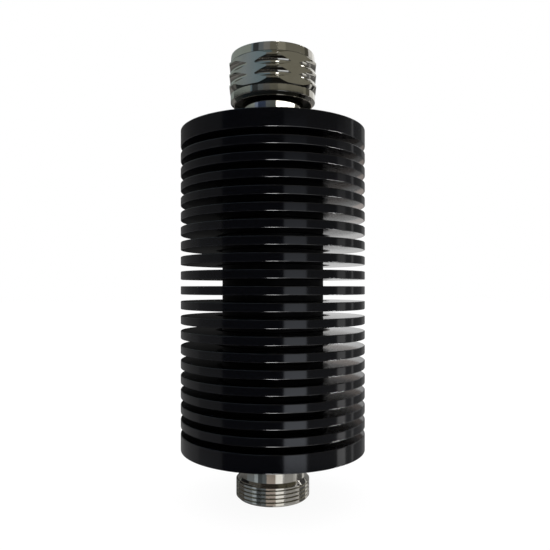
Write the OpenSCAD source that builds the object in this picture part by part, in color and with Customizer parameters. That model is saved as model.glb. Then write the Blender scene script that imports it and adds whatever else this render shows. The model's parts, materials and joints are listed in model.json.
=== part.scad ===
// Coaxial power attenuator: a finned black heat sink with a plug at the top and a jack at the bottom.
// It stands on the end of its jack. The axis of the line is Z, and Z = 0 is the jack's end face.

/* [Heat sink] */
// Diameter over the fins
sink_d = 72.5; // [66:0.5:90]
// Diameter of the core between the fins
core_d = 40; // [38:0.5:48]
// Number of fins between the two end plates
fin_count = 19; // [12:1:26]
// Thickness of a fin
fin_t = 3.17; // [2:0.01:5]
// Gap between two fins
fin_gap = 2.55; // [1.6:0.05:5]
// Thickness of each end plate
plate_t = 6.6; // [5:0.1:10]
// Chamfer on the rim of every fin and plate
rim_chamfer = 0.3; // [0.1:0.05:0.8]
// Bore through the core, where the chip carrier sits
bore_d = 26; // [25:0.1:29]

/* [Connector bases] */
// Depth to which the connector tails screw into the heat sink
tail_len = 12; // [9:0.5:16]
// Ledge from the carrier bore out to the tail's seat
seat_ledge = 2; // [1:0.1:3]
// Lip of the collar beyond the tail
collar_lip = 3; // [2.6:0.1:5]
// Thickness of the collar
collar_t = 5; // [4.5:0.1:7]
// Round part of the collar below the spanner flats
flats_base = 2.2; // [1.8:0.1:2.6]
// Depth of each spanner flat
flats_inset = 2.5; // [1:0.1:2.6]
// Section of the seal under the collar
seal_d = 1.2; // [0.8:0.1:1.5]

/* [Coaxial line] */
// Inside diameter of the outer conductor
line_d = 16; // [14:0.1:16.5]
// Wall of the contact sleeve and of the liner
sleeve_wall = 1; // [0.8:0.05:1.2]
// Diameter of the inner conductor
rod_d = 7; // [6:0.1:8]
// Diameter of the contact pin
pin_d = 5; // [4:0.1:5.4]
// Thickness of the insulating beads
bead_t = 4; // [3:0.1:5]
// Stud of a contact, which passes through its bead
stud_d = 4; // [3:0.1:4.5]
// Depth of the stud in the rod behind the bead
stud_grip = 5; // [3:0.1:7]

/* [Jack] */
// Height of the jack below the heat sink
jack_len = 19.3; // [17.8:0.1:26]
// Outside diameter of the coupling thread
thread_d = 29; // [28:0.1:31]
// Pitch of the coupling thread
thread_pitch = 1.5; // [1:0.05:2]
// Length of the jack's thread, with the shoulder above it
thread_len = 8.6; // [7:0.1:9.5]
// Chamfer at the jack's end
thread_chamfer = 0.9; // [0.5:0.1:1.2]
// Diameter of the neck above the thread
jack_neck_d = 26.2; // [25:0.1:27]
// Radial gap of the jack's mouth around the other plug's sleeve
mouth_gap = 0.1; // [0.05:0.05:0.4]
// Depth of the mouth down to the contact face
mouth_depth = 8.5; // [7:0.1:9]
// Length of the contact ring behind the mouth
contact_len = 2; // [1.5:0.1:3]
// Set-back of the socket from the jack's end
socket_recess = 1.6; // [0.5:0.1:3]
// Depth of the socket's bore
socket_depth = 7; // [4:0.1:7.5]
// Width of the slots in the spring contacts
slot_w = 0.6; // [0.3:0.05:0.8]

/* [Plug] */
// Diameter of the plug's neck
plug_neck_d = 24; // [23:0.1:24.6]
// Height of the coupling nut above the heat sink
nut_standoff = 10.8; // [9:0.1:15]
// Depth of the sleeve in the neck
sleeve_grip = 5; // [3:0.1:7]
// Set-back of the sleeve's tip from the nut's rim
sleeve_recess = 3.5; // [2:0.1:5]
// Length of the contact sleeve's slots
sleeve_slot_len = 6; // [3:0.1:7]
// Length of the contact pin beyond its shoulder
pin_len = 6.8; // [5:0.1:7]
// Set-back of the pin's tip from the sleeve's tip
pin_recess = 0.4; // [0:0.1:1.5]
// Thickness of the gasket in the nut
gasket_t = 2; // [1.5:0.1:2.5]

/* [Coupling nut] */
// Length of the nut
nut_len = 19.6; // [19:0.1:24]
// Width across the hexagon's flats
nut_af = 33.6; // [33:0.1:38]
// How far the turned corners stand out beyond the flats
nut_corner_rise = 1.35; // [0.5:0.05:1.8]
// Height of the round collar at the nut's mouth
nut_ring_h = 3.4; // [2.5:0.1:4]
// Radial fall of that collar towards the mouth
nut_mouth_fall = 0.3; // [0.1:0.05:0.8]
// Depth of the two round grooves in the corners
groove_depth = 1.25; // [0.4:0.05:1.45]
// Land above, between and below the grooves
groove_land = 0.7; // [0.3:0.05:1]
// Height of the round collar at the nut's rear
nut_collar_h = 4; // [3:0.1:4.3]
// Height of the chamfers between the hexagon and the two collars
nut_hex_chamfer_h = 1.4; // [0.8:0.1:1.5]
// Chamfer at the nut's rear edge
nut_rear_chamfer = 1.1; // [0.4:0.1:1.5]
// Depth of the recess around the neck in the nut's rear
nut_recess_h = 1.8; // [1:0.1:2.2]
// Width of the rim around that recess
nut_rear_rim = 0.4; // [0.3:0.05:1]
// Thickness of the web that rides on the neck
web_t = 4.4; // [3.6:0.1:5]
// Length of the thread relief above the web
relief_len = 3; // [2:0.1:4]
// Thickness of the snap ring
ring_t = 1.2; // [0.8:0.1:1.4]
// Radial reach of the snap ring into the nut
ring_reach = 1.1; // [0.7:0.1:1.3]
// Radial depth of the snap ring in the neck
ring_bite = 0.8; // [0.5:0.1:1.1]
// Opening of the snap ring
ring_opening = 4; // [2:0.5:8]

/* [Chip carrier] */
// Diameter of the channel for the leads
channel_d = 7; // [5:0.1:7.5]
// Diameter of the leads
lead_d = 3; // [2:0.1:3.4]
// Width and length of the chip
chip_w = 9.5; // [8:0.1:9.6]
// Thickness of the chip
chip_t = 1.5; // [1:0.1:2]
// Ear of the mounting flange on each side of the chip, with its screw in the middle
flange_ear = 5.25; // [5:0.05:5.6]
// Thickness of the mounting flange
flange_t = 2.5; // [2:0.1:3]
// Rim of the flange beyond the chip, along the carrier
flange_rim = 0.25; // [0.1:0.05:0.6]
// Width of the lid over the chip
lid_w = 7; // [5:0.1:8]
// Length of the lid over the chip
lid_len = 5; // [3:0.1:5.6]
// Thickness of the lid
lid_t = 1; // [0.6:0.1:2]
// Thickness of the copper tabs
tab_t = 0.25; // [0.15:0.05:0.4]
// Lap of a tab on the chip, and of a tab on its lead
tab_lap = 1.5; // [1:0.1:1.8]
// Space between the chip's edge and a lead's end
lead_gap = 1; // [0.8:0.1:2]
// Height of the space over the chip
chip_room = 3; // [2.4:0.1:4]
// Shank diameter of the inner screws
screw_d = 2.5; // [2:0.1:2.6]
// Head diameter of the inner screws
screw_head_d = 4.5; // [4:0.1:4.6]
// Head height of the inner screws
screw_head_h = 2.3; // [1.6:0.1:2.4]
// Grip of the inner screws in the carrier
screw_grip = 5; // [3:0.1:5.5]
// Offset of the cover screws from the axis
cover_screw_x = 8.6; // [8:0.1:8.8]
// Height of the cover screws' seat above the split
cover_seat = 3.2; // [2.5:0.1:3.6]
// Distance from the carrier's end to a cover screw
cover_screw_inset = 12; // [6:0.5:16]

/* [Clearances] */
// Clearance between pieces that are fixed together
fit_gap = 0.05; // [0.02:0.01:0.08]
// Radial clearance of the nut on the neck
run_gap = 0.1; // [0.05:0.01:0.1]
// Clearance around the turning nut elsewhere
free_gap = 0.3; // [0.2:0.05:0.5]

/* [Hidden] */
$fn = 96;

// Reach of a cutting solid beyond the face that it opens
over = 1;
hex_sides = 6;

// Heights along the axis
sink_len = 2 * plate_t + fin_count * fin_t + (fin_count + 1) * fin_gap;
sink_base = jack_len;
sink_top = sink_base + sink_len;
sink_middle = sink_base + sink_len / 2;

// Radii of the fits between the connectors and the heat sink
sink_r = sink_d / 2;
core_r = core_d / 2;
bore_r = bore_d / 2;
seat_r = bore_r + seat_ledge;
tail_r = seat_r - fit_gap;
collar_r = seat_r + collar_lip;
seal_r = (tail_r + collar_r) / 2;
seal_groove_depth = seal_d + fit_gap;

// The coaxial line
line_r = line_d / 2;
rod_r = rod_d / 2;
sleeve_r = line_r + sleeve_wall;
bead_seat_r = sleeve_r + fit_gap;
stud_r = stud_d / 2;

// Heights on the plug, measured from the heat sink's top face
ring_play = ring_t + 2 * free_gap;
web_top = nut_recess_h + web_t;
ring_middle = nut_standoff + web_top - web_t / 2;
gasket_base = nut_standoff + web_top + free_gap;
neck_top = gasket_base + gasket_t + free_gap;
sleeve_base = neck_top - sleeve_grip;
plug_bead_base = sleeve_base - bead_t;
nut_top = nut_standoff + nut_len;
sleeve_tip = nut_top - sleeve_recess;
pin_tip = sleeve_tip - pin_recess;
pin_shoulder = pin_tip - pin_len;
neck_edge = 0.5;
sleeve_fingers = 6;

// Heights on the jack, measured from the heat sink's bottom face towards the jack's end
jack_contact = jack_len - mouth_depth;
jack_bead_top = jack_contact - contact_len;
jack_bead_base = jack_bead_top - bead_t;
socket_end = jack_len - socket_recess;
mouth_r = sleeve_r + mouth_gap;
thread_r = thread_d / 2;
jack_neck_r = jack_neck_d / 2;
thread_start = jack_len - thread_len;
socket_slot_share = 0.85;
socket_fingers = 4;

// The nut
nut_flat_r = nut_af / 2;
nut_corner_r = nut_flat_r + nut_corner_rise;
nut_collar_r = nut_flat_r - fit_gap;
nut_mouth_r = nut_collar_r - nut_mouth_fall;
nut_recess_r = nut_collar_r - nut_rear_chamfer - nut_rear_rim;
hex_base = nut_collar_h + nut_hex_chamfer_h;
ring_base = nut_len - nut_ring_h;
hex_top = ring_base - nut_hex_chamfer_h;
groove_count = 2;
groove_w = (hex_top - hex_base - (groove_count + 1) * groove_land) / groove_count;
groove_first = hex_base + groove_land + groove_w / 2;
groove_r = (pow(groove_w / 2, 2) + pow(groove_depth, 2)) / (2 * groove_depth);
plug_neck_r = plug_neck_d / 2;
// Depth of the internal thread as a share of its pitch
thread_share = 0.5413;
nut_thread_r = thread_r - thread_share * thread_pitch;
nut_mouth_lead = 1;
gasket_r = nut_thread_r - free_gap;

// The carrier and what it holds, measured from the middle of the heat sink
carrier_r = bore_r - fit_gap;
carrier_len = sink_len - 2 * tail_len - 2 * fit_gap;
flange_w = chip_w + 2 * flange_ear;
flange_len = chip_w + 2 * flange_rim;
flange_screw_x = (chip_w + flange_ear) / 2;
pocket_w = flange_w + 2 * fit_gap;
pocket_len = flange_len + 2 * fit_gap;
lead_r = lead_d / 2;
lead_end = chip_w / 2 + lead_gap;
lead_step = 1.5;
cover_screw_z = carrier_len / 2 - cover_screw_inset;
screw_clear_r = screw_d / 2 + fit_gap;
head_clear_r = screw_head_d / 2 + fit_gap;
hex_key_share = 0.55;

// Colours of the pieces
black_anodised = [0.03, 0.03, 0.035];
plated = [0.62, 0.60, 0.55];
silver_plate = [0.78, 0.77, 0.74];
white_plastic = [0.92, 0.92, 0.90];
silicone_rubber = [0.25, 0.12, 0.10];
copper = [0.72, 0.42, 0.28];
ceramic = [0.90, 0.89, 0.84];
steel = [0.55, 0.56, 0.58];
bare_alloy = [0.75, 0.76, 0.77];

// Helpers

// Places a piece of the plug, whose heights start at the heat sink's top face
module on_plug_end() {
    translate([0, 0, sink_top]) children();
}

// Places a piece of the jack, whose heights start at the heat sink's bottom face and run down
module on_jack_end() {
    translate([0, 0, sink_base]) mirror([0, 0, 1]) children();
}

module turned(profile) {
    rotate_extrude() polygon(profile);
}

module tube(r_out, r_in, h) {
    difference() {
        cylinder(r = r_out, h = h);
        translate([0, 0, -over]) cylinder(r = r_in, h = h + 2 * over);
    }
}

// A ring of round section that rests on the plane below it
module seal_ring() {
    translate([0, 0, seal_d / 2])
        rotate_extrude() translate([seal_r, 0]) circle(d = seal_d);
}

// Cuts that run across a tube and leave springy fingers
module finger_slots(count, reach, base, len) {
    for (k = [0 : count / 2 - 1])
        rotate([0, 0, 180 / (count / 2) * k])
            translate([-reach, -slot_w / 2, base]) cube([2 * reach, slot_w, len]);
}

// Screw-in tail with its collar, seal groove and two spanner flats
module connector_base() {
    difference() {
        union() {
            translate([0, 0, -tail_len]) cylinder(r = tail_r, h = tail_len + over);
            cylinder(r = collar_r, h = collar_t);
        }
        translate([0, 0, -over])
            tube(seal_r + seal_d / 2 + fit_gap, seal_r - seal_d / 2 - fit_gap, over + seal_groove_depth);
        for (side = [0, 180])
            rotate([0, 0, side])
                translate([collar_r - flats_inset, -collar_r, flats_base])
                    cube([collar_r, 2 * collar_r, collar_t]);
    }
}

// Inner conductor behind a bead, which steps down to a lead with a flat for its tab
module inner_rod(bead_base) {
    lead_tip = lead_end - sink_len / 2;
    step = lead_step - tail_len;
    difference() {
        union() {
            translate([0, 0, step]) cylinder(r = rod_r, h = bead_base - step);
            translate([0, 0, lead_tip]) cylinder(r = lead_r, h = step - lead_tip + over);
        }
        translate([0, 0, bead_base - stud_grip - fit_gap])
            cylinder(r = stud_r + fit_gap, h = stud_grip + fit_gap + over);
        translate([-lead_r - over, 0, lead_tip - over])
            cube([2 * (lead_r + over), lead_r + over, tab_lap + over]);
    }
}

// Insulating disc with a hole for the contact's stud
module insulating_bead() {
    tube(sleeve_r, stud_r + fit_gap, bead_t);
}

// Stud that passes from a contact through its bead into the rod
module contact_stud(bead_base) {
    translate([0, 0, bead_base - stud_grip]) cylinder(r = stud_r, h = stud_grip + bead_t + over);
}

// Cap screw along Y, with the seat of its head at the origin and the head towards +Y
module cap_screw(shank) {
    rotate([-90, 0, 0])
        difference() {
            union() {
                cylinder(r = screw_head_d / 2, h = screw_head_h);
                translate([0, 0, -shank]) cylinder(r = screw_d / 2, h = shank + over);
            }
            translate([0, 0, screw_head_h / 2])
                cylinder(r = screw_head_d / 2 * hex_key_share, h = screw_head_h, $fn = hex_sides);
        }
}

// Clear hole for a screw's shank, from the origin towards -Y
module screw_hole(len) {
    rotate([90, 0, 0]) cylinder(r = screw_clear_r, h = len);
}

module at_flange_screws() {
    for (side = [-1, 1])
        translate([side * flange_screw_x, -chip_t, sink_middle]) children();
}

module at_cover_screws() {
    for (side = [-1, 1], end = [-1, 1])
        translate([side * cover_screw_x, cover_seat, sink_middle + end * cover_screw_z]) children();
}

// Half of the round bar that fills the bore, on the +Y side or the -Y side of the split
module half_bar(side) {
    difference() {
        cylinder(r = carrier_r, h = carrier_len, center = true);
        translate([-bore_d, side > 0 ? -2 * bore_d : 0, -carrier_len])
            cube([2 * bore_d, 2 * bore_d, 2 * carrier_len]);
        cylinder(r = channel_d / 2, h = carrier_len + 2 * over, center = true);
    }
}

// Copper tab between the chip and a lead, on the plug's side or the jack's side
module lead_tab() {
    translate([-lead_r, 0, chip_w / 2 - tab_lap])
        cube([lead_d, tab_t, tab_lap + lead_gap + tab_lap]);
}

// Heat sink

function disc_base(k) = k == 0 ? 0 : plate_t + fin_gap + (k - 1) * (fin_t + fin_gap);
function disc_t(k) = (k == 0 || k == fin_count + 1) ? plate_t : fin_t;

// One bar turned into end plates and fins, bored through and seated for the connectors
module heatsink() {
    rims = [
        for (k = [0 : fin_count + 1])
            let (low = disc_base(k), high = low + disc_t(k))
                each [
                    [k == 0 ? 0 : core_r, low],
                    [sink_r - rim_chamfer, low],
                    [sink_r, low + rim_chamfer],
                    [sink_r, high - rim_chamfer],
                    [sink_r - rim_chamfer, high],
                    [k == fin_count + 1 ? 0 : core_r, high]
                ]
    ];
    color(black_anodised)
        translate([0, 0, sink_base])
            difference() {
                turned(rims);
                translate([0, 0, -over]) cylinder(r = bore_r, h = sink_len + 2 * over);
                translate([0, 0, -over]) cylinder(r = seat_r, h = tail_len + over);
                translate([0, 0, sink_len - tail_len]) cylinder(r = seat_r, h = tail_len + over);
            }
}

// Plug

module plug_body() {
    color(plated)
        on_plug_end()
            difference() {
                union() {
                    connector_base();
                    turned([
                        [0, 0], [plug_neck_r, 0], [plug_neck_r, neck_top - neck_edge],
                        [plug_neck_r - neck_edge, neck_top], [0, neck_top]
                    ]);
                }
                translate([0, 0, -tail_len - over]) cylinder(r = line_r, h = tail_len + neck_top + 2 * over);
                translate([0, 0, plug_bead_base]) cylinder(r = bead_seat_r, h = neck_top);
                translate([0, 0, ring_middle - ring_t / 2 - fit_gap])
                    tube(plug_neck_r + over, plug_neck_r - ring_bite - fit_gap, ring_t + 2 * fit_gap);
            }
}

module plug_seal() {
    color(silicone_rubber) on_plug_end() seal_ring();
}

// Spring sleeve of the outer conductor, pressed into the neck on top of the bead
module plug_contact_sleeve() {
    tip_edge = sleeve_wall / 3;
    color(silver_plate)
        on_plug_end()
            difference() {
                turned([
                    [line_r, sleeve_base], [sleeve_r, sleeve_base], [sleeve_r, sleeve_tip - tip_edge],
                    [sleeve_r - tip_edge, sleeve_tip], [line_r, sleeve_tip]
                ]);
                finger_slots(sleeve_fingers, sleeve_r + over,
                             sleeve_tip - sleeve_slot_len, sleeve_slot_len + over);
            }
}

module plug_bead() {
    color(white_plastic) on_plug_end() translate([0, 0, plug_bead_base]) insulating_bead();
}

module plug_pin() {
    tip_edge = pin_d / 6;
    color(silver_plate)
        on_plug_end() {
            contact_stud(plug_bead_base);
            turned([
                [0, sleeve_base], [rod_r, sleeve_base], [rod_r, pin_shoulder], [pin_d / 2, pin_shoulder],
                [pin_d / 2, pin_tip - tip_edge], [pin_d / 2 - tip_edge / 2, pin_tip], [0, pin_tip]
            ]);
        }
}

module plug_rod() {
    color(silver_plate) on_plug_end() inner_rod(plug_bead_base);
}

module plug_gasket() {
    color(silicone_rubber)
        on_plug_end() translate([0, 0, gasket_base]) tube(gasket_r, plug_neck_r + fit_gap, gasket_t);
}

// Hexagon nut with turned corners, two round grooves and a round collar at each end
module coupling_nut() {
    outside = [
        [0, 0], [nut_collar_r - nut_rear_chamfer, 0], [nut_collar_r, nut_rear_chamfer],
        [nut_collar_r, nut_collar_h], [nut_corner_r, hex_base],
        [nut_corner_r, hex_top], [nut_collar_r, ring_base], [nut_mouth_r, nut_len], [0, nut_len]
    ];
    relief_r = thread_r + free_gap;
    relief_top = web_top + relief_len;
    color(plated)
        on_plug_end()
            translate([0, 0, nut_standoff])
                difference() {
                    intersection() {
                        rotate([0, 0, 90])
                            cylinder(r = nut_flat_r / cos(180 / hex_sides), h = nut_len, $fn = hex_sides);
                        turned(outside);
                    }
                    for (k = [0 : groove_count - 1])
                        translate([0, 0, groove_first + k * (groove_w + groove_land)])
                            rotate_extrude()
                                translate([nut_corner_r - groove_depth + groove_r, 0]) circle(r = groove_r);
                    translate([0, 0, -over]) cylinder(r = nut_recess_r, h = nut_recess_h + over);
                    cylinder(r = plug_neck_r + run_gap, h = web_top + over);
                    translate([0, 0, web_top - (web_t + ring_play) / 2])
                        cylinder(r = plug_neck_r + ring_reach + free_gap, h = ring_play);
                    turned([
                        [0, web_top], [relief_r, web_top], [relief_r, relief_top],
                        [nut_thread_r, relief_top + relief_r - nut_thread_r],
                        [nut_thread_r, nut_len - nut_mouth_lead],
                        [nut_thread_r + nut_mouth_lead, nut_len],
                        [nut_thread_r + nut_mouth_lead, nut_len + over], [0, nut_len + over]
                    ]);
                }
}

// Split spring ring in the neck's groove, which keeps the nut on the plug
module nut_snap_ring() {
    color(steel)
        on_plug_end()
            translate([0, 0, ring_middle - ring_t / 2])
                difference() {
                    tube(plug_neck_r + ring_reach, plug_neck_r - ring_bite, ring_t);
                    translate([0, -ring_opening / 2, -over])
                        cube([plug_neck_r + ring_reach + over, ring_opening, ring_t + 2 * over]);
                }
}

// Jack

module jack_body() {
    color(plated)
        on_jack_end()
            difference() {
                union() {
                    connector_base();
                    turned([
                        [0, 0], [jack_neck_r, 0], [jack_neck_r, thread_start],
                        [thread_r, thread_start + thread_r - jack_neck_r],
                        [thread_r, jack_len - thread_chamfer],
                        [thread_r - thread_chamfer, jack_len], [0, jack_len]
                    ]);
                }
                translate([0, 0, -tail_len - over])
                    cylinder(r = bead_seat_r, h = tail_len + jack_bead_top + over);
                cylinder(r = line_r, h = jack_len);
                translate([0, 0, jack_contact]) cylinder(r = mouth_r, h = mouth_depth + over);
            }
}

module jack_seal() {
    color(silicone_rubber) on_jack_end() seal_ring();
}

// Tube that continues the outer conductor through the tail and holds the bead
module jack_liner() {
    color(silver_plate)
        on_jack_end() translate([0, 0, -tail_len]) tube(sleeve_r, line_r, tail_len + jack_bead_base);
}

module jack_bead() {
    color(white_plastic) on_jack_end() translate([0, 0, jack_bead_base]) insulating_bead();
}

// Spring socket for the other plug's pin
module jack_socket() {
    slot_len = socket_depth * socket_slot_share;
    color(silver_plate)
        on_jack_end()
            difference() {
                union() {
                    contact_stud(jack_bead_base);
                    translate([0, 0, jack_bead_top]) cylinder(r = rod_r, h = socket_end - jack_bead_top);
                }
                translate([0, 0, socket_end - socket_depth]) cylinder(r = pin_d / 2, h = socket_depth + over);
                finger_slots(socket_fingers, rod_r + over, socket_end - slot_len, slot_len + over);
            }
}

module jack_rod() {
    color(silver_plate) on_jack_end() inner_rod(jack_bead_base);
}

// Carrier with the attenuator chip

module chip_carrier() {
    depth = chip_t + flange_t;
    color(bare_alloy)
        difference() {
            translate([0, 0, sink_middle]) half_bar(-1);
            translate([-pocket_w / 2, -depth, sink_middle - pocket_len / 2])
                cube([pocket_w, depth + over, pocket_len]);
            at_flange_screws() screw_hole(flange_t + screw_grip + fit_gap);
            at_cover_screws() screw_hole(cover_seat + screw_grip + fit_gap);
        }
}

module carrier_cover() {
    color(bare_alloy)
        difference() {
            translate([0, 0, sink_middle]) half_bar(1);
            translate([-pocket_w / 2, -over, sink_middle - pocket_len / 2])
                cube([pocket_w, chip_room + over, pocket_len]);
            at_cover_screws() {
                screw_hole(cover_seat + over);
                rotate([-90, 0, 0]) cylinder(r = head_clear_r, h = bore_r);
            }
        }
}

module cover_screws() {
    color(steel) at_cover_screws() cap_screw(cover_seat + screw_grip);
}

module chip_flange() {
    color(copper)
        difference() {
            translate([-flange_w / 2, -chip_t - flange_t, sink_middle - flange_len / 2])
                cube([flange_w, flange_t, flange_len]);
            at_flange_screws() translate([0, over, 0]) screw_hole(flange_t + 2 * over);
        }
}

module flange_screws() {
    color(steel) at_flange_screws() cap_screw(flange_t + screw_grip);
}

module attenuator_chip() {
    color(ceramic)
        translate([-chip_w / 2, -chip_t, sink_middle - chip_w / 2]) cube([chip_w, chip_t, chip_w]);
}

module chip_lid() {
    color(ceramic)
        translate([-lid_w / 2, 0, sink_middle - lid_len / 2]) cube([lid_w, lid_t, lid_len]);
}

module input_tab() {
    color(copper) translate([0, 0, sink_middle]) lead_tab();
}

module output_tab() {
    color(copper) translate([0, 0, sink_middle]) mirror([0, 0, 1]) lead_tab();
}

heatsink();
plug_body();
plug_seal();
plug_contact_sleeve();
plug_bead();
plug_pin();
plug_rod();
plug_gasket();
coupling_nut();
nut_snap_ring();
jack_body();
jack_seal();
jack_liner();
jack_bead();
jack_socket();
jack_rod();
chip_carrier();
carrier_cover();
cover_screws();
chip_flange();
flange_screws();
attenuator_chip();
chip_lid();
input_tab();
output_tab();
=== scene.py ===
"""Looks of a finned coaxial power attenuator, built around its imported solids.
Metres, +Z up, jack end at Z = 0."""
import json
import math
from functools import partial

import bmesh
import bpy
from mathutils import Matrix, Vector


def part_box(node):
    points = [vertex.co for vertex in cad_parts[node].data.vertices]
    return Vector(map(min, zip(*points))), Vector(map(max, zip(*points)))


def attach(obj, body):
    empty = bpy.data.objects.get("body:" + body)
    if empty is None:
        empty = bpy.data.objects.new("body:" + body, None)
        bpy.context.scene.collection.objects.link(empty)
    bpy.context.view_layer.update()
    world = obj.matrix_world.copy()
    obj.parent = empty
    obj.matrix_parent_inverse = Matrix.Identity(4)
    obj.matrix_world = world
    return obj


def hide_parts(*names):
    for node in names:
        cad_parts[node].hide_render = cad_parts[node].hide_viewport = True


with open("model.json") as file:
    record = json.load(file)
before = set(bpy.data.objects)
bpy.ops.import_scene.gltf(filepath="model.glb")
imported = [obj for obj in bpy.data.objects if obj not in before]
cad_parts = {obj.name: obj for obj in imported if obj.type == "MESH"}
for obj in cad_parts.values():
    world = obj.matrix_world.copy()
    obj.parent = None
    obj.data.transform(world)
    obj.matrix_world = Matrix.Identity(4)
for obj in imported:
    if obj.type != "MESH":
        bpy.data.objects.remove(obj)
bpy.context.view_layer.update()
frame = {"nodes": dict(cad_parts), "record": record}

MM = 0.001
WELD = 1e-7
BODY = "attenuator"
NUT_BODY = "nut"

# Sizes in millimetres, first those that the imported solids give
sink_low, sink_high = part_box("heatsink")
nut_low, nut_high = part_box("coupling_nut")
_, plug_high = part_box("plug_body")
jack_low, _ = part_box("jack_body")
sink_r = sink_high.x / MM
sink_base = sink_low.z / MM
sink_top = sink_high.z / MM
nut_base = nut_low.z / MM
nut_top = nut_high.z / MM
neck_top = plug_high.z / MM
jack_end = jack_low.z / MM

# Heat sink
core_r = 20.0
fin_count = 19
fin_t = 3.17
plate_t = 6.6
rim_round = 0.3
core_round = 0.3
bore_r = 13.0
seat_r = 15.0
tail_len = 12.0
fin_gap = (sink_top - sink_base - 2 * plate_t - fin_count * fin_t) / (fin_count + 1)

# Connector bases
tail_r = 14.95
collar_r = 18.0
collar_t = 5.0
flats_base = 2.2
flat_half = 15.5
edge_round = 0.25
edge_fall = 0.1

# Plug
plug_neck_r = 12.0
plug_neck_chamfer = 0.5
line_r = 8.0
bead_seat_r = 9.05
plug_bead_base = 154.33
ring_groove_low = 157.88
ring_groove_high = 159.18
ring_groove_r = 11.15

# Coupling nut
hex_flat_r = 16.8
hex_corner_r = 18.15
hex_turn = math.radians(-90)
nut_collar_r = 16.75
nut_rear_chamfer = 1.1
nut_recess_r = 15.25
nut_recess_h = 1.8
nut_collar_h = 4.0
nut_hex_chamfer_h = 1.4
nut_mouth_r = 16.45
nut_ring_h = 3.4
groove_count = 2
groove_depth = 1.25
groove_land = 0.7
groove_edge = 0.25
groove_round = 0.05
groove_steps = 20
hex_step = 0.3
hex_margin = 0.1
nut_soft_edge = 0.2
nut_crisp_edge = 0.1
nut_hex_edge = 0.15
nut_ring_edge = 0.3
nut_mouth_edge = 0.25
# Width of the band around the rear recess that is painted in shade
recess_shade_band = 0.25
nut_bore_r = 12.1
ring_room_r = 13.4
ring_room_h = 1.8
web_t = 4.4
relief_r = 14.8
relief_len = 3.0
nut_thread_minor = 13.7
nut_thread_major = 14.55
nut_mouth_lead_r = 14.69
nut_thread_crest = 0.25
nut_thread_end = 0.1
nut_thread_step = 0.08

# Jack
thread_r = 14.5
thread_depth = 0.62
thread_crest = 0.6
thread_step = 0.05
shoulder_top = 8.6
thread_chamfer = 0.9
jack_neck_r = 13.1
mouth_r = 9.1
mouth_depth = 8.5
contact_len = 2.0

# Both coupling threads. A crest or a root is its share of the pitch
thread_pitch = 1.5
thread_root = 0.08


# Shapes

def rounded(corners, steps=8):
    """Closed outline through corners (radius, height, rounding), as points (radius, height, edge).
    Edge is 1 on the arc of an outer corner, -1 on that of an inner corner and 0 elsewhere."""
    outline = []
    for k, (r, z, rounding) in enumerate(corners):
        here = Vector((r, z))
        if not rounding:
            outline.append((r, z, 0.0))
            continue
        back = (Vector(corners[k - 1][:2]) - here).normalized()
        ahead = (Vector(corners[(k + 1) % len(corners)][:2]) - here).normalized()
        half = back.angle(ahead) / 2
        centre = here + (back + ahead).normalized() * (rounding / math.sin(half))
        first = here + back * (rounding / math.tan(half)) - centre
        last = here + ahead * (rounding / math.tan(half)) - centre
        start = math.atan2(first.y, first.x)
        sweep = (math.atan2(last.y, last.x) - start + math.pi) % (2 * math.pi) - math.pi
        side = 1.0 if sweep > 0 else -1.0
        for s in range(steps + 1):
            angle = start + sweep * s / steps
            edge = side if 0 < s < steps else 0.0
            along = centre.x + rounding * math.cos(angle)
            up = centre.y + rounding * math.sin(angle)
            outline.append((along, up, edge))
    return outline


def refined(outline, longest, above):
    """The outline with extra points outside the radius above, none further apart than longest."""
    fine = []
    for k, (r, z, edge) in enumerate(outline):
        fine.append((r, z, edge))
        next_r, next_z, _ = outline[(k + 1) % len(outline)]
        if max(r, next_r) <= above:
            continue
        count = math.ceil(math.hypot(next_r - r, next_z - z) / longest)
        fine += [(r + (next_r - r) * s / count, z + (next_z - z) * s / count, 0.0) for s in range(1, count)]
    return fine


def sector_angles(flats, turn, limit, flat_steps, round_steps):
    """Angles of one row around the axis, each with its angle from the middle of its flat.
    Some of them lie on the borders of the flats."""
    half = math.pi / flats
    local = [-half + (half - limit) * s / round_steps for s in range(round_steps)]
    local += [-limit + limit * s / flat_steps for s in range(2 * flat_steps)]
    local += [limit + (half - limit) * s / round_steps for s in range(round_steps)]
    return [(turn + half * (2 * k + 1) + a, a) for k in range(flats) for a in local]


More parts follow.
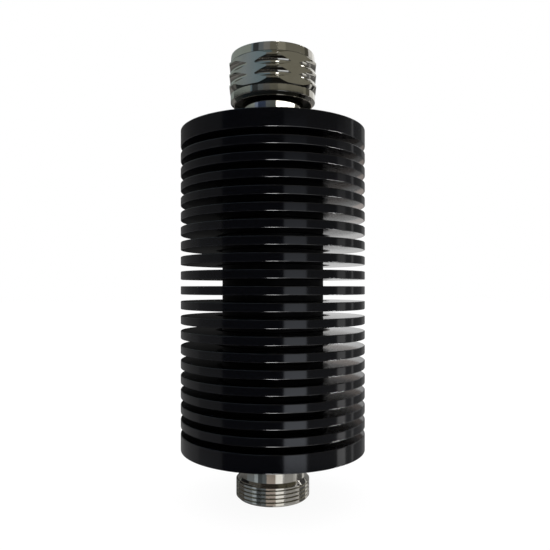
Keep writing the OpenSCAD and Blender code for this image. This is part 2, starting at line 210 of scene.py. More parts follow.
def turned(name, rows, flats=0, flat_r=0.0, turn=0.0, flat_steps=6, round_steps=10,
           columns=192, sharp=12.0):
    """Closed turned mesh. A row is (radius, height, edge, cut), with the radius a number or a function
    of the angle, and cut true where the flats at flat_r take off what stands beyond them."""
    spare = math.acos(flat_r / max(r for r, _, _, cut in rows if cut)) if flats else 0.0
    mesh = bmesh.new()
    edge_layer = mesh.verts.layers.float.new("edge")
    rings = []
    for radius, z, edge, cut in rows:
        limit = spare
        if cut:
            limit = math.acos(flat_r / radius) if radius > flat_r else 0.0
            cut = radius > flat_r
        if flats:
            angles = sector_angles(flats, turn, limit, flat_steps, round_steps)
        else:
            angles = [(2 * math.pi * k / columns, math.pi) for k in range(columns)]
        ring = []
        for angle, local in angles:
            r = radius(angle) if callable(radius) else radius
            if cut and abs(local) <= limit:
                r = flat_r / math.cos(local)
            vert = mesh.verts.new((r * MM * math.cos(angle), r * MM * math.sin(angle), z * MM))
            vert[edge_layer] = edge
            ring.append(vert)
        rings.append(ring)
    for k, ring in enumerate(rings):
        above = rings[(k + 1) % len(rings)]
        for j in range(len(ring)):
            n = (j + 1) % len(ring)
            mesh.faces.new((ring[j], ring[n], above[n], above[j]))
    bmesh.ops.remove_doubles(mesh, verts=mesh.verts, dist=WELD)
    bmesh.ops.dissolve_degenerate(mesh, edges=mesh.edges, dist=WELD)
    bmesh.ops.recalc_face_normals(mesh, faces=mesh.faces)
    data = bpy.data.meshes.new(name)
    mesh.to_mesh(data)
    mesh.free()
    data.shade_smooth()
    data.set_sharp_from_angle(angle=math.radians(sharp))
    piece = bpy.data.objects.new(name, data)
    bpy.context.scene.collection.objects.link(piece)
    normals = piece.modifiers.new("even_normals", "WEIGHTED_NORMAL")
    normals.keep_sharp = True
    return piece


def thread_wave(z, angle, crest):
    """Depth of a right-handed thread as a share, 0 on the crest and 1 at the root."""
    turn = (z / thread_pitch - angle / (2 * math.pi)) % 1.0
    from_root = abs(turn - 0.5) / 0.5
    return min(1.0, max(0.0, (1.0 - crest - from_root) / (1.0 - crest - thread_root)))


# Shared effects of the finishes

def put(tree, kind, settings=None, inputs=None):
    """Adds a node. An input is a value, or a socket that is linked to it."""
    made = tree.nodes.new(kind)
    for key, value in (settings or {}).items():
        setattr(made, key, value)
    for key, value in (inputs or {}).items():
        if isinstance(value, bpy.types.NodeSocket):
            tree.links.new(value, made.inputs[key])
        else:
            made.inputs[key].default_value = value
    return made


def math_node(tree, operation, a, b=0.0):
    return put(tree, "ShaderNodeMath", {"operation": operation}, {0: a, 1: b}).outputs[0]


def mix_colour(tree, factor, a, b):
    made = put(tree, "ShaderNodeMix", {"data_type": "RGBA"}, {0: factor, 6: a, 7: b})
    return made.outputs[2]


def map_range(tree, value, low, high, to_low, to_high):
    made = put(tree, "ShaderNodeMapRange", None,
               {0: value, 1: low, 2: high, 3: to_low, 4: to_high})
    return made.outputs[0]


def effect(name, inputs, outputs):
    """Empty node group with float inputs (name, value) and float outputs."""
    group = bpy.data.node_groups.new(name, "ShaderNodeTree")
    for socket, value in inputs:
        made = group.interface.new_socket(socket, in_out="INPUT", socket_type="NodeSocketFloat")
        made.default_value = value
    for socket in outputs:
        group.interface.new_socket(socket, in_out="OUTPUT", socket_type="NodeSocketFloat")
    start = group.nodes.new("NodeGroupInput")
    end = group.nodes.new("NodeGroupOutput")
    return group, start.outputs, end.inputs


def turning_marks():
    """Fine rings that a lathe tool leaves: lines around round faces, and rings on flat ones."""
    settings = [("Lines per mm", 9.0), ("Waver", 0.3)]
    group, given, result = effect("turning_marks", settings, ["Height", "Tone", "Radius"])
    place = put(group, "ShaderNodeTexCoord").outputs["Object"]
    axes = put(group, "ShaderNodeSeparateXYZ", None, {0: place}).outputs
    across = put(group, "ShaderNodeCombineXYZ", None, {"X": axes["X"], "Y": axes["Y"]}).outputs[0]
    radius = put(group, "ShaderNodeVectorMath", {"operation": "LENGTH"}, {0: across}).outputs["Value"]
    per_metre = math_node(group, "MULTIPLY", given["Lines per mm"], 1000.0)
    drift = put(group, "ShaderNodeTexNoise", None,
                {"Vector": place, "Scale": 120.0, "Detail": 1.0}).outputs[0]
    shift = math_node(group, "MULTIPLY", drift, given["Waver"])
    along = math_node(group, "ADD", math_node(group, "MULTIPLY", axes["Z"], per_metre), shift)
    out = math_node(group, "MULTIPLY", radius, per_metre)
    lines = put(group, "ShaderNodeCombineXYZ", None, {"X": out, "Y": along}).outputs[0]
    fine = put(group, "ShaderNodeTexNoise", {"noise_dimensions": "2D"},
               {"Vector": lines, "Scale": 1.0, "Detail": 3.0, "Roughness": 0.7}).outputs[0]
    broad = put(group, "ShaderNodeTexNoise", {"noise_dimensions": "2D"},
                {"Vector": lines, "Scale": 0.12, "Detail": 2.0}).outputs[0]
    group.links.new(fine, result["Height"])
    group.links.new(broad, result["Tone"])
    group.links.new(radius, result["Radius"])
    return group


def edge_wear_and_shade():
    """Mask of rubbed outer edges, broken up along their length, and a mask of painted shade in inner
    corners.
    """
    settings = [("Amount", 0.5), ("Patch scale", 300.0)]
    group, given, result = effect("edge_wear_and_shade", settings, ["Mask", "Painted shade"])
    edge = put(group, "ShaderNodeAttribute", {"attribute_name": "edge"}).outputs["Fac"]
    place = put(group, "ShaderNodeTexCoord").outputs["Object"]
    patches = put(group, "ShaderNodeTexNoise", None,
                  {"Vector": place, "Scale": given["Patch scale"], "Detail": 4.0}).outputs[0]
    broken = map_range(group, patches, 0.42, 0.62, 0.15, 1.0)
    outer = math_node(group, "MAXIMUM", edge, 0.0)
    rubbed = math_node(group, "MULTIPLY", outer, broken)
    group.links.new(math_node(group, "MULTIPLY", rubbed, given["Amount"]), result["Mask"])
    # Painted shade: a mask over inner corners, where shade falls, from the edge attribute
    inner = math_node(group, "MAXIMUM", math_node(group, "MULTIPLY", edge, -1.0), 0.0)
    group.links.new(inner, result["Painted shade"])
    return group


def handling():
    """Faint smudges and specks of dust from being handled, as values from 0 to 1."""
    group, given, result = effect("handling", [("Scale", 60.0), ("Specks", 0.2)], ["Value", "Dust"])
    place = put(group, "ShaderNodeTexCoord").outputs["Object"]
    smudge = put(group, "ShaderNodeTexNoise", None,
                 {"Vector": place, "Scale": given["Scale"], "Detail": 3.0, "Distortion": 0.6}).outputs[0]
    cells = put(group, "ShaderNodeTexVoronoi", None, {"Vector": place, "Scale": 900.0}).outputs["Distance"]
    speck = map_range(group, cells, 0.10, 0.02, 0.0, 1.0)
    thin = put(group, "ShaderNodeTexNoise", None,
               {"Vector": place, "Scale": 45.0, "Detail": 2.0}).outputs[0]
    some = map_range(group, thin, 0.55, 0.75, 0.0, 1.0)
    dust = math_node(group, "MULTIPLY", math_node(group, "MULTIPLY", speck, some), given["Specks"])
    group.links.new(map_range(group, smudge, 0.3, 0.7, 0.0, 1.0), result["Value"])
    group.links.new(dust, result["Dust"])
    return group


def tarnish():
    """Cloudy patches where a plate or a bare metal has dulled."""
    group, given, result = effect("tarnish", [("Scale", 90.0), ("Amount", 0.5)], ["Mask"])
    place = put(group, "ShaderNodeTexCoord").outputs["Object"]
    cloud = put(group, "ShaderNodeTexNoise", None,
                {"Vector": place, "Scale": given["Scale"], "Detail": 5.0, "Roughness": 0.6}).outputs[0]
    mask = map_range(group, cloud, 0.4, 0.7, 0.0, 1.0)
    group.links.new(math_node(group, "MULTIPLY", mask, given["Amount"]), result["Mask"])
    return group


EFFECTS = {"turning": turning_marks(), "wear_and_shade": edge_wear_and_shade(), "handling": handling(), "tarnish": tarnish()}


def use(tree, effect_name, **values):
    """Places a shared effect in a material, and gives its outputs."""
    made = put(tree, "ShaderNodeGroup", {"node_tree": EFFECTS[effect_name]})
    for key, value in values.items():
        made.inputs[key.replace("_", " ")].default_value = value
    return made.outputs


# Finishes

def finish(name, **fixed):
    """New material with a Principled shader, whose constant sockets are set here."""
    material = bpy.data.materials.new(name)
    material.use_nodes = True
    shader = material.node_tree.nodes["Principled BSDF"]
    for socket, value in fixed.items():
        shader.inputs[socket.replace("_", " ")].default_value = value
    return material, material.node_tree, shader.inputs


def bump(tree, height, strength, distance):
    made = put(tree, "ShaderNodeBump", None,
               {"Height": height, "Strength": strength, "Distance": distance})
    return made.outputs[0]


def black_anodised():
    """Dyed anodising on turned aluminium: deep black, glossy, with fine turning lines.
    The core between the fins is dull, and the gloss begins a little outside it."""
    material, tree, shader = finish("black_anodised", IOR=1.6)
    marks = use(tree, "turning", Lines_per_mm=7.0)
    hands = use(tree, "handling", Scale=55.0, Specks=0.5)
    rubbed = use(tree, "wear_and_shade", Amount=0.12, Patch_scale=350.0)["Mask"]
    dye = mix_colour(tree, marks["Tone"], (0.0005, 0.0006, 0.0013, 1), (0.0014, 0.0016, 0.0028, 1))
    dusty = mix_colour(tree, hands["Dust"], dye, (0.06, 0.058, 0.055, 1))
    tree.links.new(mix_colour(tree, rubbed, dusty, (0.035, 0.035, 0.038, 1)), shader["Base Color"])
    gloss = map_range(tree, hands["Value"], 0.0, 1.0, 0.085, 0.135)
    dull_r = (core_r + 0.2) * MM
    glossy_r = (core_r + 3.0) * MM
    deep = map_range(tree, marks["Radius"], dull_r, glossy_r, 0.5, 0.0)
    tree.links.new(math_node(tree, "ADD", gloss, deep), shader["Roughness"])
    tree.links.new(bump(tree, marks["Height"], 0.06, 0.00001), shader["Normal"])
    return material


def plated(name, clean, dull, roughness, lines):
    """Bright plate on turned brass, a little warm, with tool lines, dull patches, and painted shade that
    darkens and dulls inner corners.
    """
    material, tree, shader = finish(name, Metallic=1.0)
    marks = use(tree, "turning", Lines_per_mm=lines)
    hands = use(tree, "handling", Scale=110.0, Specks=0.15)
    clouded = use(tree, "tarnish", Scale=140.0, Amount=0.45)["Mask"]
    edges = use(tree, "wear_and_shade", Amount=0.5, Patch_scale=500.0)
    plate = mix_colour(tree, clouded, clean, dull)
    toned = mix_colour(tree, math_node(tree, "MULTIPLY", marks["Tone"], 0.12), plate, dull)
    bright = tuple(min(1.0, c * 1.12) for c in clean[:3]) + (1,)
    worn = mix_colour(tree, edges["Mask"], toned, bright)
    # Painted shade: inner corners and the nut's rear recess darkened to near black, and made matt below
    tree.links.new(mix_colour(tree, edges["Painted shade"], worn, (0.03, 0.028, 0.025, 1)), shader["Base Color"])
    gloss = map_range(tree, hands["Value"], 0.0, 1.0, roughness * 0.8, roughness * 1.25)
    matt = math_node(tree, "MULTIPLY", edges["Painted shade"], 0.4)
    tree.links.new(math_node(tree, "MAXIMUM", gloss, matt), shader["Roughness"])
    tree.links.new(bump(tree, marks["Height"], 0.08, 0.00001), shader["Normal"])
    return material


def white_insulator():
    """Turned fluoroplastic: matt, a little waxy, with soft tool rings."""
    material, tree, shader = finish("white_insulator", IOR=1.36)
    marks = use(tree, "turning", Lines_per_mm=4.0)
    hands = use(tree, "handling", Scale=150.0, Specks=0.3)
    plain = mix_colour(tree, marks["Tone"], (0.86, 0.86, 0.84, 1), (0.92, 0.92, 0.90, 1))
    tree.links.new(mix_colour(tree, hands["Dust"], plain, (0.45, 0.43, 0.40, 1)), shader["Base Color"])
    tree.links.new(map_range(tree, hands["Value"], 0.0, 1.0, 0.42, 0.58), shader["Roughness"])
    tree.links.new(bump(tree, marks["Height"], 0.25, 0.00002), shader["Normal"])
    return material


def seal_rubber():
    """Moulded silicone rubber, red-brown, with a fine bloom."""
    material, tree, shader = finish("seal_rubber", IOR=1.42)
    hands = use(tree, "handling", Scale=220.0, Specks=0.6)
    bloom = use(tree, "tarnish", Scale=400.0, Amount=0.6)["Mask"]
    rubber = mix_colour(tree, bloom, (0.25, 0.12, 0.10, 1), (0.33, 0.19, 0.16, 1))
    tree.links.new(mix_colour(tree, hands["Dust"], rubber, (0.5, 0.46, 0.42, 1)), shader["Base Color"])
    tree.links.new(map_range(tree, hands["Value"], 0.0, 1.0, 0.5, 0.7), shader["Roughness"])
    tree.links.new(bump(tree, bloom, 0.2, 0.00002), shader["Normal"])
    return material


def machined(name, clean, dull, roughness, lines, cloud):
    """Bare machined metal with tool lines and cloudy patches."""
    material, tree, shader = finish(name, Metallic=1.0)
    marks = use(tree, "turning", Lines_per_mm=lines, Waver=1.2)
    clouded = use(tree, "tarnish", Scale=cloud, Amount=0.8)["Mask"]
    tree.links.new(mix_colour(tree, clouded, clean, dull), shader["Base Color"])
    tree.links.new(map_range(tree, marks["Tone"], 0.3, 0.7, *roughness), shader["Roughness"])
    tree.links.new(bump(tree, marks["Height"], 0.2, 0.00001), shader["Normal"])
    return material


def ceramic():
    """Fired alumina: matt, with a fine grain and a few darker specks."""
    material, tree, shader = finish("ceramic", IOR=1.7)
    hands = use(tree, "handling", Scale=300.0, Specks=0.5)
    grain = use(tree, "tarnish", Scale=2500.0, Amount=1.0)["Mask"]
    fired = mix_colour(tree, grain, (0.90, 0.89, 0.84, 1), (0.84, 0.83, 0.78, 1))
    tree.links.new(mix_colour(tree, hands["Dust"], fired, (0.4, 0.38, 0.33, 1)), shader["Base Color"])
    tree.links.new(map_range(tree, hands["Value"], 0.0, 1.0, 0.4, 0.6), shader["Roughness"])
    tree.links.new(bump(tree, grain, 0.15, 0.00001), shader["Normal"])
    return material


FINISHES = {
    "black_anodised": black_anodised(),
    "plated_brass": plated("plated_brass", (0.68, 0.66, 0.60, 1), (0.54, 0.50, 0.43, 1), 0.075, 8.0),
    "plated_nut": plated("plated_nut", (0.64, 0.62, 0.56, 1), (0.52, 0.49, 0.42, 1), 0.08, 6.0),
    "silver_contact": plated("silver_contact", (0.86, 0.84, 0.80, 1), (0.62, 0.57, 0.48, 1), 0.20, 10.0),
    "white_insulator": white_insulator(),
    "seal_rubber": seal_rubber(),
    "steel": machined("steel", (0.55, 0.56, 0.58, 1), (0.36, 0.35, 0.34, 1), (0.25, 0.4), 8.0, 200.0),
    "bare_alloy": machined(
        "bare_alloy", (0.75, 0.76, 0.77, 1), (0.62, 0.63, 0.65, 1), (0.25, 0.45), 5.0, 80.0),
    "copper": machined("copper", (0.72, 0.42, 0.28, 1), (0.45, 0.22, 0.13, 1), (0.22, 0.38), 8.0, 260.0),
    "ceramic": ceramic(),
}


def dress(piece, slot, body, node):
    """Gives a piece its finish and body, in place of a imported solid."""
    piece.data.materials.append(FINISHES[slot])
    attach(piece, body)
    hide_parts(node)


# Heat sink

def heat_sink():
    """One turned bar: two end plates with the fins between them, and a bore with a seat at each end."""
    corners = [(seat_r, sink_base, 0)]
    z = sink_base
    for k in range(fin_count + 2):
        first, last = k == 0, k == fin_count + 1
        thick = plate_t if first or last else fin_t
        if not first:
            corners.append((core_r, z, core_round))
        corners += [(sink_r, z, rim_round), (sink_r, z + thick, rim_round)]
        if not last:
            corners.append((core_r, z + thick, core_round))
        z += thick + fin_gap
    corners += [
        (seat_r, sink_top, 0), (seat_r, sink_top - tail_len, 0), (bore_r, sink_top - tail_len, 0),
        (bore_r, sink_base + tail_len, 0), (seat_r, sink_base + tail_len, 0),
    ]
    rows = [(r, h, edge, False) for r, h, edge in rounded(corners, steps=5)]
    dress(turned("finned_heat_sink", rows, sharp=25.0), "black_anodised", BODY, "heatsink")


# Coupling nut

def coupling_nut():
    """Hexagon bar with turned corners and round grooves across them, a collar at each end, a recess at
    the rear, a web with room for the snap ring, and a thread with a relief behind it."""
    hex_base = nut_base + nut_collar_h + nut_hex_chamfer_h
    ring_base = nut_top - nut_ring_h
    hex_top = ring_base - nut_hex_chamfer_h
    groove_half = (hex_top - hex_base - (groove_count + 1) * groove_land) / groove_count / 2
    groove_r = (groove_half ** 2 + groove_depth ** 2) / (2 * groove_depth)
    sweep = math.asin((groove_half - groove_edge) / groove_r)
    grooves = []
    for k in range(groove_count):
        middle = hex_base + groove_land + groove_half + k * (2 * groove_half + groove_land)
        grooves.append((hex_corner_r, middle - groove_half, groove_round))
        for s in range(groove_steps + 1):
            a = sweep * (2 * s / groove_steps - 1)
            r = hex_corner_r - groove_depth + groove_r * (1 - math.cos(a))
            grooves.append((r, middle + groove_r * math.sin(a), 0))
        grooves.append((hex_corner_r, middle + groove_half, groove_round))
    recess_top = nut_base + nut_recess_h
    ring_low = recess_top + (web_t - ring_room_h) / 2
    web_top = recess_top + web_t
    relief_top = web_top + relief_len
    thread_low = relief_top + relief_r - nut_thread_minor
    thread_high = nut_top - nut_thread_end
    outer = [
        (nut_bore_r, recess_top, nut_soft_edge), (nut_recess_r, recess_top, nut_soft_edge),
        (nut_recess_r, nut_base, nut_crisp_edge),
        (nut_collar_r - nut_rear_chamfer, nut_base, nut_crisp_edge),
        (nut_collar_r, nut_base + nut_rear_chamfer, nut_soft_edge),
        (nut_collar_r, nut_base + nut_collar_h, nut_crisp_edge),
        (hex_corner_r, hex_base, nut_crisp_edge), *grooves, (hex_corner_r, hex_top, nut_hex_edge),
        (nut_collar_r, ring_base, nut_ring_edge), (nut_mouth_r, nut_top, nut_mouth_edge),
        (nut_mouth_lead_r, nut_top, nut_hex_edge),
    ]
    inner = [
        (nut_thread_minor, thread_low, 0), (relief_r, relief_top, 0), (relief_r, web_top, 0),
        (nut_bore_r, web_top, nut_soft_edge), (nut_bore_r, ring_low + ring_room_h, 0),
        (ring_room_r, ring_low + ring_room_h, 0), (ring_room_r, ring_low, 0), (nut_bore_r, ring_low, 0),
    ]
    shell = refined(rounded(outer + inner), hex_step, hex_flat_r - hex_margin)
    inner_start = shell.index((nut_thread_minor, thread_low, 0.0))
    lead = nut_mouth_lead_r - nut_thread_minor
    depth = nut_thread_major - nut_thread_minor

    def inside(z, angle):
        lead_r = nut_thread_minor + max(0.0, z - (nut_top - lead))
        return max(lead_r, nut_thread_major - depth * thread_wave(z, angle, nut_thread_crest))

    count = round((thread_high - thread_low) / nut_thread_step)
    heights = [thread_high - (thread_high - thread_low) * s / count for s in range(count + 1)]
    thread = [(partial(inside, z), z, 0.0, False) for z in heights]
    rows = []
    for r, z, edge in shell:
        # Rows at the rear recess get the inner-corner mark, so that they are painted in shade
        in_recess_shade = r < nut_recess_r + recess_shade_band and abs(z - recess_top) < recess_shade_band
        rows.append((r, z, -1.0 if in_recess_shade else edge, True))
    rows = rows[:inner_start] + thread + rows[inner_start:]
    nut = turned("hexagon_coupling_nut", rows, flats=6, flat_r=hex_flat_r, turn=hex_turn)
    dress(nut, "plated_nut", NUT_BODY, "coupling_nut")


# Connector bodies

def base_rows(face, way, outer):
    """Rows of a connector's tail and collar from the tail's end, up to the neck's radius outer.
    Way is 1 for the plug and -1 for the jack."""
    tail_end = face - way * tail_len
    top = face + way * collar_t
    flats = face + way * flats_base
    soft = edge_round * way
    return [
        (bead_seat_r if way < 0 else line_r, tail_end, 0.0, False), (tail_r, tail_end, 0.0, False),
        (tail_r, face, 0.0, False), (collar_r - edge_round, face, 0.0, False),
        (collar_r, face + soft, 0.0, False), (collar_r, flats, 0.0, False),
        (collar_r, flats, 0.0, True), (collar_r, top - 2 * soft, 0.0, True),
        (collar_r - edge_fall, top - soft, 1.0, True), (collar_r - 2 * edge_round, top, 0.0, True),
        (outer, top, 0.0, False),
    ]


def connector(name, rows, node):
    """Turned connector body with two flats on its collar."""
    body = turned(name, rows, flats=2, flat_r=flat_half, turn=math.pi / 2, flat_steps=12, round_steps=36)
    dress(body, "plated_brass", BODY, node)


def plug_body():
    """Tail, collar and neck of the plug, with the groove of the snap ring and the seat of the bead."""
    rows = base_rows(sink_top, 1, plug_neck_r)
    rows += [
        (plug_neck_r, ring_groove_low, 0.0, False), (ring_groove_r, ring_groove_low, 0.0, False),
        (ring_groove_r, ring_groove_high, 0.0, False), (plug_neck_r, ring_groove_high, 0.0, False),
        (plug_neck_r, neck_top - plug_neck_chamfer, 0.0, False),
        (plug_neck_r - plug_neck_chamfer, neck_top, 0.0, False),
        (bead_seat_r, neck_top, 0.0, False), (bead_seat_r, plug_bead_base, 0.0, False),
        (line_r, plug_bead_base, 0.0, False),
    ]
    connector("plug_neck_and_collar", rows, "plug_body")


def jack_body():
    """Tail, collar, neck and thread of the jack, with its mouth and the seat of the bead."""
    def outside(z, angle):
        thread = thread_r - thread_depth * thread_wave(z, angle, thread_crest)
        shoulder = jack_neck_r + jack_end + shoulder_top - z
        return min(thread, shoulder, thread_r - thread_chamfer + z - jack_end)

    count = round(shoulder_top / thread_step)
    heights = [jack_end + shoulder_top * (1 - s / count) for s in range(count + 1)]
    contact_face = jack_end + mouth_depth
    bead_face = contact_face + contact_len
    rows = base_rows(sink_base, -1, jack_neck_r)
    rows += [(partial(outside, z), z, 0.0, False) for z in heights]
    rows += [
        (mouth_r + edge_round, jack_end, 0.0, False), (mouth_r, jack_end + edge_round, 0.0, False),
        (mouth_r, contact_face, 0.0, False), (line_r, contact_face, 0.0, False),
        (line_r, bead_face, 0.0, False), (bead_seat_r, bead_face, 0.0, False),
    ]
    connector("threaded_jack", rows, "jack_body")


heat_sink()
coupling_nut()
plug_body()
jack_body()


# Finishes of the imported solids

for part in frame["record"]["subparts"]:
    node = frame["nodes"][part["node"]]
    node.data.materials.clear()
    node.data.materials.append(FINISHES[part["material_slot"]])


# Studio, with the camera's place in metres and its picture in pixels

eye = Vector((0.0, -0.2384, 0.0825))
focal_px = 598.3
image_px = 550
sensor_mm = 36.0
axis_px = 272.8
horizon_px = 287.8


def camera():
    """Level camera, shifted so that the part's axis and the eye's height fall on their pixels."""
    lens = bpy.data.cameras.new("camera")
    lens.sensor_width = sensor_mm
    lens.lens = focal_px / image_px * sensor_mm
    lens.shift_x = (image_px / 2 - axis_px) / image_px
    lens.shift_y = (horizon_px - image_px / 2) / image_px
    lens.clip_start = 0.01
    made = bpy.data.objects.new("camera", lens)
    made.location = eye
    made.rotation_euler = (math.radians(90), 0, 0)
    bpy.context.scene.collection.objects.link(made)
    bpy.context.scene.camera = made


def floor():
    """White floor that keeps the object's shadow."""
    half = 3.0
    data = bpy.data.meshes.new("floor")
    corners = [(-half, -half, 0), (half, -half, 0), (half, half, 0), (-half, half, 0)]
    data.from_pydata(corners, [], [(0, 1, 2, 3)])
    made = bpy.data.objects.new("floor", data)
    bpy.context.scene.collection.objects.link(made)
    material = bpy.data.materials.new("pale_floor")
    material.use_nodes = True
    shader = material.node_tree.nodes["Principled BSDF"].inputs
    shader["Base Color"].default_value = (0.12, 0.12, 0.12, 1)
    shader["Roughness"].default_value = 1.0
    shader["Specular IOR Level"].default_value = 0.0
    shader["Emission Color"].default_value = (1, 1, 1, 1)
    shader["Emission Strength"].default_value = 0.92
    data.materials.append(material)
    made.visible_glossy = False


def white_surround():
    world = bpy.data.worlds.new("white_surround")
    world.use_nodes = True
    background = world.node_tree.nodes["Background"].inputs
    background["Color"].default_value = (1, 1, 1, 1)
    background["Strength"].default_value = 1.0
    bpy.context.scene.world = world


def glow(name, low, high, tint):
    """Material that glows from low at the bottom of its card to high at the top."""
    material = bpy.data.materials.new(name)
    material.use_nodes = True
    tree = material.node_tree
    tree.nodes.clear()
    place = put(tree, "ShaderNodeTexCoord").outputs["Generated"]
    axes = put(tree, "ShaderNodeSeparateXYZ", None, {0: place}).outputs
    strength = map_range(tree, axes["Z"], 0.0, 1.0, low, high)
    shine = put(tree, "ShaderNodeEmission", None, {"Color": (*tint, 1), "Strength": strength})
    put(tree, "ShaderNodeOutputMaterial", None, {"Surface": shine.outputs[0]})
    return material


def studio_card(name, sides, heights, low, high, tint, away):
    """Curved card around the object that only shows in reflections. Sides are angles from the camera's
    side, positive to the right, and heights are angles above eye level. Low and high are its brightness
    at its lower and upper edge."""
    across, up = 24, 12
    points = []
    for j in range(up + 1):
        height = math.radians(heights[0] + (heights[1] - heights[0]) * j / up)
        for k in range(across + 1):
            side = math.radians(sides[0] + (sides[1] - sides[0]) * k / across)
            level = math.cos(height)
            way = Vector((math.sin(side) * level, -math.cos(side) * level, math.sin(height)))
            points.append(Vector((0, 0, eye.z)) + way * away)
    row = across + 1
    faces = [(j * row + k, j * row + k + 1, (j + 1) * row + k + 1, (j + 1) * row + k)
             for j in range(up) for k in range(across)]
    data = bpy.data.meshes.new(name)
    data.from_pydata(points, [], faces)
    data.materials.append(glow(name, low, high, tint))
    card = bpy.data.objects.new(name, data)
    bpy.context.scene.collection.objects.link(card)
    card.visible_camera = False
    card.visible_diffuse = False
    card.visible_transmission = False
    card.visible_volume_scatter = False
    card.visible_shadow = False
    return card


SURROUND_AWAY = 2.6
LAMPS_AWAY = 2.0

PLAIN = (1.0, 1.0, 1.0)
COOL = (0.87, 1.0, 1.12)
MILD = (0.95, 1.0, 1.09)
BLUE = (0.68, 0.95, 1.15)
OLIVE = (1.0, 0.97, 0.8)
WARM = (1.08, 0.95, 0.88)
SAGE = (0.87, 1.0, 0.98)
SKY = (0.8, 1.0, 1.5)
NAVY = (0.65, 1.0, 2.0)

LEVEL = (-18.75, 18.2)
HIGH = (18.2, 40)
CEILING = (40, 90)
LOW = (-25, -18.75)
DEEP = (-90, -25)

# What the object mirrors of the room: name, sides, heights, brightness at the lower and upper edge, tint
SURROUND = [
    ("dark_doorway", (-62, 13), LEVEL, 0.03, 0.02, PLAIN),
    ("grey_wall", (-100, -62), LEVEL, 0.14, 0.085, PLAIN),
    ("pale_left_wall", (-160, -100), LEVEL, 0.21, 0.08, PLAIN),
    ("shade_behind", (-180, -160), (-25, 40), 0.02, 0.02, PLAIN),
    ("window", (13, 40), LEVEL, 1.16, 0.03, MILD),
    ("wall_by_window", (40, 83), LEVEL, 0.13, 0.07, PLAIN),
    ("side_window", (83, 97), LEVEL, 1.05, 0.05, PLAIN),
    ("side_wall", (97, 110), LEVEL, 0.17, 0.13, PLAIN),
    ("bright_slit", (110, 114), LEVEL, 0.55, 0.45, PLAIN),
    ("dim_corner", (114, 140), LEVEL, 0.15, 0.09, PLAIN),
    ("pale_wall", (140, 168), (-25, 18.2), 0.2, 0.2, PLAIN),
    ("high_pale_wall", (140, 168), HIGH, 1.0, 1.0, PLAIN),
    ("bright_behind", (168, 180), (-6, 6), 0.75, 0.75, PLAIN),
    ("table_behind", (168, 180), (-25, -6), 0.0, 0.62, WARM),
    ("wall_behind", (168, 180), (6, 40), 0.62, 0.0, PLAIN),
    ("high_left_wall", (-160, -63), HIGH, 0.3, 0.3, SAGE),
    ("high_grey_panel", (-63, -61.8), HIGH, 0.26, 0.26, COOL),
    ("high_blue_panel", (-61.8, -57), HIGH, 0.24, 0.24, BLUE),
    ("high_doorway", (-57, -40), HIGH, 0.05, 0.05, COOL),
    ("high_blue_post", (-40, -26), HIGH, 0.12, 0.17, COOL),
    ("high_pale_post", (-26, -8), HIGH, 0.11, 0.24, PLAIN),
    ("high_room", (-8, 14), HIGH, 0.15, 0.15, OLIVE),
    ("high_pale_stripe", (14, 36), HIGH, 0.22, 0.28, OLIVE),
    ("high_right_wall", (36, 100), HIGH, 0.21, 0.15, OLIVE),
    ("high_dark_frame", (100, 117), HIGH, 0.09, 0.07, OLIVE),
    ("high_pale_corner", (117, 140), HIGH, 0.75, 0.75, PLAIN),
    ("ceiling_on_the_left", (-180, -8), CEILING, 0.2, 0.2, BLUE),
    ("ceiling_on_the_right", (-8, 180), CEILING, 0.16, 0.16, OLIVE),
    ("low_left_shade", (-160, -100), LOW, 0.07, 0.07, PLAIN),
    ("low_left_wall", (-100, -66), LOW, 0.2, 0.2, COOL),
    ("deep_left_table", (-180, -66), DEEP, 0.12, 0.12, PLAIN),
    ("deep_table", (-66, 34), DEEP, 0.04, 0.04, WARM),
    ("deep_lit_table", (34, 105), DEEP, 0.12, 0.12, OLIVE),
    ("deep_white_floor", (105, 180), DEEP, 0.6, 0.6, PLAIN),
]

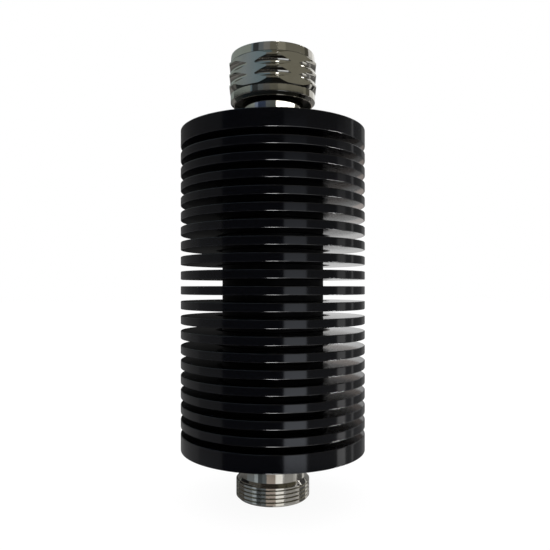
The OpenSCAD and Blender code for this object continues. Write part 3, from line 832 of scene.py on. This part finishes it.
# What only one piece mirrors: name, piece, sides, heights, brightness, tint
SINK, NUT, PLUG, JACK = "finned_heat_sink", "hexagon_coupling_nut", "plug_neck_and_collar", "threaded_jack"
BELOW = (-62, -36)
SIDE_BELOW = (-48, -38)
ABOVE = (18.6, 19.9)
LAMPS = [
    ("low_lamp", SINK, (-9.5, 8), BELOW, 21.0, PLAIN),
    ("low_lamp_glow", SINK, (8, 23), BELOW, 6.0, PLAIN),
    ("low_lamp_haze", SINK, (23, 72), BELOW, 1.6, PLAIN),
    ("low_side_lamp", SINK, (93, 100), SIDE_BELOW, 46.0, PLAIN),
    ("low_far_lamp", SINK, (114, 119), SIDE_BELOW, 46.0, PLAIN),
    ("tube_lamp", PLUG, (12, 90), ABOVE, 5.0, PLAIN),
    ("plain_left_wall", PLUG, (-130, -72), ABOVE, 0.32, SAGE),
    ("sky_panel", PLUG, (-72, -57), ABOVE, 0.26, SKY),
    ("navy_panel", PLUG, (-57, -26), ABOVE, 0.055, NAVY),
    ("cool_post", PLUG, (-26, -10), ABOVE, 0.155, COOL),
    ("sage_post", PLUG, (-10, 12), ABOVE, 0.135, SAGE),
    ("upper_lamp", NUT, (9, 18), (40, 50), 8.0, PLAIN),
    ("upper_side_lamp", NUT, (98, 108), (40, 50), 8.0, PLAIN),
    ("low_blue_panel", JACK, (-66, -52), LOW, 0.4, COOL),
    ("low_dark_edge", JACK, (-52, -36), LOW, 0.075, COOL),
    ("low_grey_edge", JACK, (-36, -21), LOW, 0.13, COOL),
    ("wooden_table", JACK, (-21, 9), LOW, 0.36, WARM),
    ("lit_table", JACK, (9, 34), LOW, 1.06, PLAIN),
    ("table_by_window", JACK, (34, 75), LOW, 0.33, PLAIN),
    ("low_side_window", JACK, (75, 90), LOW, 0.45, PLAIN),
    ("low_dark_corner", JACK, (90, 122), LOW, 0.08, PLAIN),
    ("low_pale_corner", JACK, (122, 140), LOW, 0.6, PLAIN),
]


def studio():
    """All cards. Those in LAMPS are seen by their own piece alone."""
    for name, sides, heights, low, high, tint in SURROUND:
        studio_card(name, sides, heights, low, high, tint, SURROUND_AWAY)
    for name, piece, sides, heights, brightness, tint in LAMPS:
        lamp = studio_card(name, sides, heights, brightness, brightness, tint, LAMPS_AWAY)
        lit = bpy.data.collections.new(name + "_lights")
        lit.objects.link(bpy.data.objects[piece])
        lamp.light_linking.receiver_collection = lit


camera()
floor()
white_surround()
studio()

scene = bpy.context.scene
scene.view_settings.view_transform = "Standard"
